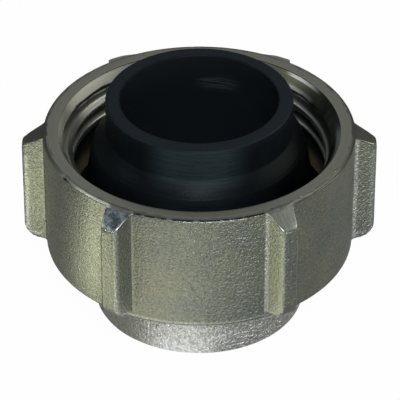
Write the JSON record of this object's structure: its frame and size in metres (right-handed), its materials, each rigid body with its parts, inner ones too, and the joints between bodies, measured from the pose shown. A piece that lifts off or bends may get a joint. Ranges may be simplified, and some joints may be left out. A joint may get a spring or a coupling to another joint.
{
  "type": "eurocone compression fitting",
  "caption": "Union nut with grip ribs that turns freely round a rubber sealing cone and a split clamping ring, to join a smooth pipe to a threaded cone seat.",
  "frame": {"origin": "on the common axis, at the end face of the union nut's neck, on which the fitting stands", "axes": "+Z along the common axis towards the nose of the sealing cone; +X through a rib"},
  "size_m": [0.0346, 0.0306, 0.0232],
  "materials": {
    "nickel_plated_brass": "shot-blasted forging under nickel plate, satin turned faces",
    "black_rubber": "moulded, soft sheen",
    "brass": "turned"
  },
  "bodies": {
    "insert": {"sealing_cone": "black_rubber", "clamping_ring": "brass"},
    "nut": {"union_nut": "nickel_plated_brass"}
  },
  "joints": [
    {"name": "nut_turn", "type": "hinge", "parent": "insert", "child": "nut", "pos_m": [0, 0, 0.0095], "axis": [0, 0, 1], "continuous": true}
  ]
}
